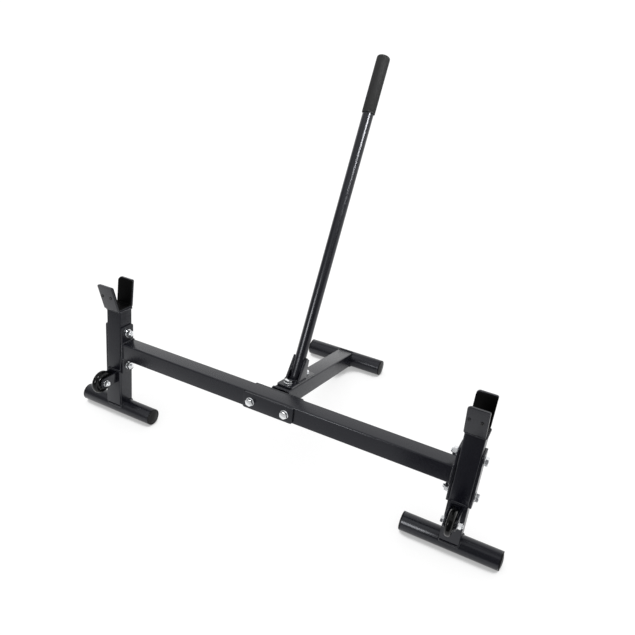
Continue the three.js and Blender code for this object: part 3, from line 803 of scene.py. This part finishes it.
def wheel(side, word):
    """The transport wheel in front of an upright, with its bracket and axle."""
    post = shift(x=side * UPRIGHT_CENTRE)
    wheel_bracket(post, word)
    axle = post @ shift(y=-AXLE_FORWARD, z=AXLE_HEIGHT) @ turn(-QUARTER, "Y")
    body = f"wheel_{word}"
    piece(f"wheel_tyre_{word}_dressed", tyre(), axle, "wheel_rubber", body, [f"wheel_tyre_{word}"])
    piece(f"wheel_hub_{word}_dressed", hub(), axle, "hub_plastic", body, [f"wheel_hub_{word}"])
    half = FORK_INNER / 2 - SEAT_GAP
    bore = AXLE_BOLT.diameter / 2 + SEAT_GAP
    profile = [(bore, -half), (SLEEVE_RADIUS, -half), (SLEEVE_RADIUS, half), (bore, half)]
    sleeve = revolved(profile, SMALL_SIDES)
    piece(f"axle_sleeve_{word}_dressed", sleeve, axle, "zinc", nodes=[f"axle_sleeve_{word}"])
    outside = axle @ shift(z=FORK_GRIP / 2)
    bolt_set(f"axle_{word}", outside, FORK_GRIP, AXLE_BOLT, math.radians(AXLE_TWIST * side))


def tyre():
    """The tyre: a ring with a rounded tread."""
    half = TYRE_WIDTH / 2
    outer = WHEEL_DIAMETER / 2
    shoulder = TYRE_WIDTH * TYRE_EDGE_SHARE
    bore = TYRE_BORE_RADIUS
    profile = [(bore, -half + CUT_EDGE), (bore + CUT_EDGE, -half), (bore + 2 * CUT_EDGE, -half)]
    for middle, start in ((shoulder - half, -QUARTER), (half - shoulder, 0)):
        edge = arc(outer - shoulder, middle, shoulder, start, QUARTER, TYRE_EDGE_STEPS)
        profile += [tuple(p) for p in edge]
    profile += [(bore + 2 * CUT_EDGE, half), (bore + CUT_EDGE, half), (bore, half - CUT_EDGE)]
    return revolved(profile, ROUND_SIDES)


def hub():
    """The hub: boss, web and rim."""
    bore = SLEEVE_RADIUS + SEAT_GAP
    rim = TYRE_BORE_RADIUS - SEAT_GAP
    rim_inner = rim - (rim - HUB_BOSS_RADIUS) * HUB_RIM_SHARE
    boss = HUB_BOSS_RADIUS
    boss_end, rim_end = HUB_WIDTH / 2, TYRE_WIDTH / 2
    web_end = rim_end * HUB_WEB_SHARE
    edge = CUT_EDGE
    upper = [(rim, rim_end - edge), (rim - edge, rim_end), (rim_inner + edge, rim_end)]
    upper += [(rim_inner, rim_end - edge), (rim_inner, web_end), (boss, web_end)]
    upper += [(boss, boss_end - edge), (boss - edge, boss_end), (bore, boss_end)]
    lower = [(r, -z) for r, z in reversed(upper)]
    return revolved(lower + upper, ROUND_SIDES)


# Rear leg and lever


def leg_and_lever():
    """The rear leg with the rear bar on its end, and the lever bolted on top of it."""
    leg = shift(y=LEG_START, z=BEAM_HEIGHT) @ turn(-LEG_SLOPE, "X")
    lie = leg @ turn(-QUARTER, "X")

    # Seen along the tube, its section's +Y points down
    def front_end(p):
        return -p.y * math.tan(LEG_SLOPE)

    def rear_end(p):
        return LEG_REACH - saddle(p)

    tube = square_tube(front_end, rear_end)
    piece("rear_leg_dressed", tube, lie, "powder_coat", nodes=["rear_leg"])
    for end, height in (("front", front_end), ("rear", rear_end)):
        weld = bead(tube_line(height), closed=True)
        piece(f"rear_leg_weld_{end}", weld, lie, "powder_coat")
    floor_tube("rear_bar", leg @ shift(y=LEG_REACH), REAR_BAR_LENGTH)

    centre = LEVER_PLATE_SETBACK + PLATE_LENGTH / 2
    base = leg @ shift(y=centre, z=HALF_TUBE + SEAT_GAP)
    lengthways = base @ turn(QUARTER, "Z")
    piece("lever_base_plate_dressed", joint_plate(), lengthways, "powder_coat", nodes=["lever_base_plate"])
    for side, word in ((-1, "front"), (1, "rear")):
        place = base @ shift(y=side * HOLE_OFFSET, z=PLATE_THICKNESS)
        twist = math.radians(LEVER_TWIST * side)
        bolt_set(f"lever_{word}", place, PLATE_STACK + TUBE_SIDE, twist=twist)
    lever(base @ shift(y=-LEVER_FOOT_AHEAD, z=PLATE_THICKNESS))


def lever(foot):
    """The lever tube, its gussets, their welds and the grip."""
    lie = foot @ turn(-LEVER_TILT, "X")
    radius = LEVER_DIAMETER / 2
    cap_inside = LEVER_LENGTH - GRIP_END

    def flat_foot(p):
        return (SEAT_GAP + p.y * math.sin(LEVER_TILT)) / math.cos(LEVER_TILT)

    outer, inner = circle(radius, ROUND_SIDES), circle(radius - TUBE_WALL, ROUND_SIDES)
    tube = pipe(outer, inner, flat_foot, lambda p: cap_inside - SEAT_GAP, CAST_EDGE)
    piece("lever_tube_dressed", tube, lie, "powder_coat", nodes=["lever_tube"])
    ring = [Vector((p.x, p.y, flat_foot(p))) for p in outer]
    piece("lever_weld_foot", bead(ring, closed=True), lie, "powder_coat")
    for side, word in SIDES:
        name = f"lever_gusset_{word}"
        x = side * (radius + SEAT_GAP)
        inner_x = x if side > 0 else x - GUSSET_THICKNESS
        place = foot @ shift(x=inner_x) @ turn(QUARTER, "Z") @ turn(QUARTER, "X")
        plate = slab(gusset_outline(), GUSSET_THICKNESS, CUT_EDGE)
        piece(f"{name}_dressed", plate, place, "powder_coat", nodes=[name])
        out = x + side * GUSSET_THICKNESS
        ends = (-GUSSET_BASE_AHEAD + CUT_EDGE, GUSSET_BASE_BEHIND - CUT_EDGE)
        weld = bead([Vector((out, y, SEAT_GAP)) for y in ends])
        piece(f"{name}_weld", weld, foot, "powder_coat")
        for sign, end in ((-1, "front"), (1, "back")):
            line = [Vector((x, sign * radius * SEAM_SHIFT_SHARE, z)) for z in SEAM_HEIGHTS]
            piece(f"{name}_seam_{end}", bead(line), lie, "powder_coat")
    grip_piece(lie, radius, cap_inside)


def gusset_outline():
    """The gusset's side outline of Y and Z, listed anticlockwise."""
    top = GUSSET_HEIGHT
    points = [(-GUSSET_BASE_AHEAD, SEAT_GAP), (GUSSET_BASE_BEHIND, SEAT_GAP)]
    points += [(GUSSET_BASE_BEHIND, top - GUSSET_TOP_DROP), (GUSSET_TOP_BEHIND, top)]
    return [Vector(p) for p in points]


def grip_piece(lie, radius, cap_inside):
    """The soft grip with a rounded end, and a lip and a shallow groove at its start."""
    bore, outside = radius + GRIP_FIT, radius + GRIP_FIT + GRIP_WALL
    start, lip = LEVER_LENGTH - GRIP_LENGTH, GRIP_LIP
    groove = outside - lip / 4
    profile = [(0, cap_inside), (bore, cap_inside), (bore, start), (outside - lip / 2, start)]
    profile += [(outside, start + lip / 2), (outside, start + 2 * lip)]
    profile += [(groove, start + 2.4 * lip), (groove, start + 3 * lip), (outside, start + 3.4 * lip)]
    end = arc(outside - GRIP_END, cap_inside, GRIP_END, 0, QUARTER, GRIP_END_STEPS)
    profile += [tuple(p) for p in end]
    profile += [(0, LEVER_LENGTH)]
    piece("lever_grip_dressed", revolved(profile, ROUND_SIDES), lie, "grip_rubber", nodes=["lever_grip"])


crossbeam()
centre_clamp()
leg_and_lever()
for side, word in SIDES:
    upright(side, word)
    floor_tube(f"foot_{word}", shift(x=side * UPRIGHT_CENTRE), FOOT_LENGTH)
    cradle(side, word)
    wheel(side, word)

# Camera, at the photograph's place and turn
IMAGE_SIDE_PX = 635
FOCAL_PX = 623.54
CENTRE_PX = (320.92, 315.8)
CAMERA_PLACE = (569.39 * MM, -1104.17 * MM, 1207.39 * MM)
CAMERA_TURN = tuple(math.radians(a) for a in (53.2491, 0.2269, 26.9826))
CAMERA_RANGE = (0.05, 50)
SENSOR_WIDTH = 36

camera_data = bpy.data.cameras.new("camera")
camera_data.sensor_width = SENSOR_WIDTH
camera_data.lens = SENSOR_WIDTH * FOCAL_PX / IMAGE_SIDE_PX
camera_data.shift_x = -(CENTRE_PX[0] - IMAGE_SIDE_PX / 2) / IMAGE_SIDE_PX
camera_data.shift_y = (CENTRE_PX[1] - IMAGE_SIDE_PX / 2) / IMAGE_SIDE_PX
camera_data.clip_start, camera_data.clip_end = CAMERA_RANGE
camera = bpy.data.objects.new("camera", camera_data)
camera.location = CAMERA_PLACE
camera.rotation_euler = CAMERA_TURN
bpy.context.scene.collection.objects.link(camera)
bpy.context.scene.camera = camera
bpy.context.scene.view_settings.view_transform = "Standard"

# Floor. The camera sees it glow, and the glow carries a painted shade near where the object stands on it.
# Reflections see another tone, with painted shade in front of the object
FLOOR_SIDE = 14.0
FLOOR_ALBEDO = 0.30
FLOOR_GLOW = 0.77
# Painted contact shade on the floor's glow: how far the occlusion looks, the openness over which the shade
# fades, and its darkest level
PAINTED_SHADE_REACH = 0.04
PAINTED_SHADE_OPENNESS = (0.45, 0.62)
PAINTED_CONTACT_SHADE = 0.45
MIRRORED_FLOOR_GLOW = 0.15
# Painted shade seen only in reflections: the floor's albedo falls from the first value to the second
# between these Y values, darker in front of the object
MIRRORED_FLOOR_ALBEDO = (0.90, 0.52)
MIRRORED_SHADE_EDGE = (-0.54, -0.70)

# Room. The camera sees white, and reflections see a bright back wall in a dark room
ROOM_LEVEL = 0.92
BACK_WALL_EDGE = (-0.25, 0.25)
BACK_WALL_TOP = (0.55, 0.80)
DARK_SIDE_LEVEL = 0.25
FRONT_CEILING_LEVEL = 0.50
FRONT_CEILING_EDGE = (0.45, 0.65)
FRONT_CEILING_BACK = (-0.15, 0.15)

# The card that reflections see in front of the right upright: a dark sheet that stands for shade in front
# of the object and darkens that upright's reflection
CARD_COLOUR = (0.18, 0.18, 0.19)
CARD_ROUGHNESS = 0.9
CARD_Y = -0.60
CARD_X_RANGE = (0.32, 1.10)
CARD_HEIGHT = 0.7


def stage_floor():
    """A pale floor that looks nearly white to the camera. Its lit part keeps the object's real shadow, and
    its glow carries a painted shade near the object, taken from an ambient-occlusion node.
    """
    bm = bmesh.new()
    bmesh.ops.create_grid(bm, x_segments=1, y_segments=1, size=FLOOR_SIDE / 2)
    mesh = bpy.data.meshes.new("floor")
    bm.to_mesh(mesh)
    bm.free()
    floor = bpy.data.objects.new("floor", mesh)
    bpy.context.scene.collection.objects.link(floor)
    made = bpy.data.materials.new("floor")
    made.use_nodes = True
    tree = made.node_tree
    tree.nodes.clear()
    out = tree.nodes.new("ShaderNodeOutputMaterial")
    path = tree.nodes.new("ShaderNodeLightPath")
    place = tree.nodes.new("ShaderNodeTexCoord")
    parts = tree.nodes.new("ShaderNodeSeparateXYZ")
    tree.links.new(place.outputs["Object"], parts.inputs["Vector"])
    # Painted shade in reflections: for glossy rays the floor is darker in front of the object, from Y -0.54
    # down to -0.70 and beyond
    open_albedo, painted_shade_albedo = MIRRORED_FLOOR_ALBEDO
    start, end = MIRRORED_SHADE_EDGE
    albedo = tree.nodes.new("ShaderNodeMix")
    albedo.inputs["A"].default_value = FLOOR_ALBEDO
    tree.links.new(path.outputs["Is Glossy Ray"], albedo.inputs["Factor"])
    tree.links.new(ramp(tree, parts.outputs["Y"], end, start, painted_shade_albedo, open_albedo), albedo.inputs["B"])
    plain = tree.nodes.new("ShaderNodeBsdfDiffuse")
    tree.links.new(albedo.outputs["Result"], plain.inputs["Color"])
    glow = add_node(tree, "ShaderNodeEmission", Color=(1, 1, 1, 1))
    # Painted shade: the camera's glow is darkened where the ambient occlusion finds the object close by
    occlusion = add_node(tree, "ShaderNodeAmbientOcclusion", Distance=PAINTED_SHADE_REACH)
    painted_shade = ramp(tree, occlusion.outputs["AO"], *PAINTED_SHADE_OPENNESS, PAINTED_CONTACT_SHADE, 1.0)
    glow_with_painted_shade = combined(tree, "MULTIPLY", path.outputs["Is Camera Ray"], painted_shade)
    seen = combined(tree, "MULTIPLY", glow_with_painted_shade, FLOOR_GLOW)
    mirrored = combined(tree, "MULTIPLY", path.outputs["Is Glossy Ray"], MIRRORED_FLOOR_GLOW)
    tree.links.new(combined(tree, "ADD", seen, mirrored), glow.inputs["Strength"])
    both = tree.nodes.new("ShaderNodeAddShader")
    tree.links.new(plain.outputs["BSDF"], both.inputs[0])
    tree.links.new(glow.outputs["Emission"], both.inputs[1])
    tree.links.new(both.outputs["Shader"], out.inputs["Surface"])
    mesh.materials.append(made)


def stage_world():
    """A studio: white to the camera, softly lit, and bright behind but dark in front in reflections."""
    world = bpy.data.worlds.new("room")
    bpy.context.scene.world = world
    world.use_nodes = True
    tree = world.node_tree
    tree.nodes.clear()
    out = tree.nodes.new("ShaderNodeOutputWorld")
    path = tree.nodes.new("ShaderNodeLightPath")
    way = tree.nodes.new("ShaderNodeTexCoord")
    parts = tree.nodes.new("ShaderNodeSeparateXYZ")
    tree.links.new(way.outputs["Generated"], parts.inputs["Vector"])
    behind = ramp(tree, parts.outputs["Y"], *BACK_WALL_EDGE, 0.0, 1.0)
    low = ramp(tree, parts.outputs["Z"], *BACK_WALL_TOP, 1.0, 0.0)
    wall = ramp(tree, combined(tree, "MULTIPLY", behind, low), 0.0, 1.0, DARK_SIDE_LEVEL, 1.0)
    ahead = ramp(tree, parts.outputs["Y"], *FRONT_CEILING_BACK, FRONT_CEILING_LEVEL, 0.0)
    overhead = ramp(tree, parts.outputs["Z"], *FRONT_CEILING_EDGE, 0.0, 1.0)
    ceiling = combined(tree, "MULTIPLY", ahead, overhead)
    mirrored = combined(tree, "ADD", wall, ceiling)
    glossy = combined(tree, "MULTIPLY", path.outputs["Is Glossy Ray"], mirrored)
    seen = combined(tree, "MAXIMUM", path.outputs["Is Camera Ray"], glossy)
    through = combined(tree, "MAXIMUM", seen, path.outputs["Is Transmission Ray"])
    diffuse = combined(tree, "MULTIPLY", path.outputs["Is Diffuse Ray"], ROOM_LEVEL)
    room = add_node(tree, "ShaderNodeBackground", Color=(1, 1, 1, 1))
    tree.links.new(combined(tree, "ADD", through, diffuse), room.inputs["Strength"])
    tree.links.new(room.outputs["Background"], out.inputs["Surface"])


def lamp(name, place, aim, width, height, power, reflections_only=False, spread_angle=math.pi):
    """A soft box at a place, turned to a point."""
    data = bpy.data.lights.new(name, "AREA")
    data.shape = "RECTANGLE"
    data.size = width
    data.size_y = height
    data.energy = power
    data.spread = spread_angle
    made = bpy.data.objects.new(name, data)
    made.location = place
    made.rotation_euler = (Vector(aim) - Vector(place)).to_track_quat("-Z", "Y").to_euler()
    made.visible_diffuse = not reflections_only
    bpy.context.scene.collection.objects.link(made)


def stage_card():
    """A dark grey card that stands in front of the right upright, seen only in reflections, where it stands
    for shade in front of the object and darkens that upright's reflected tone.
    """
    left, right = CARD_X_RANGE
    outline = ((left, 0.0), (right, 0.0), (right, CARD_HEIGHT), (left, CARD_HEIGHT))
    bm = bmesh.new()
    bm.faces.new([bm.verts.new((x, CARD_Y, z)) for x, z in outline])
    mesh = bpy.data.meshes.new("flag_front")
    bm.to_mesh(mesh)
    bm.free()
    card = bpy.data.objects.new("flag_front", mesh)
    bpy.context.scene.collection.objects.link(card)
    made = bpy.data.materials.new("flag_front")
    made.use_nodes = True
    shader = made.node_tree.nodes["Principled BSDF"]
    shader.inputs["Base Color"].default_value = (*CARD_COLOUR, 1)
    shader.inputs["Roughness"].default_value = CARD_ROUGHNESS
    mesh.materials.append(made)
    card.visible_camera = False
    card.visible_diffuse = False
    card.visible_shadow = False


stage_floor()
stage_world()
lamp(
    "lamp_front", place=(-0.26, -1.65, 0.93), aim=(0.0, -0.02, 0.34),
    width=0.6, height=0.50, power=11.5, reflections_only=True)
lamp("lamp_top", place=(-0.5, 0.5, 2.4), aim=(0.0, 0.0, 0.0), width=2.2, height=2.2, power=8)
lamp(
    "lamp_right", place=(1.58, -0.10, 2.04), aim=(0.0, 0.25, 0.70),
    width=1.5, height=0.38, power=3.8, reflections_only=True, spread_angle=math.radians(32))
stage_card()
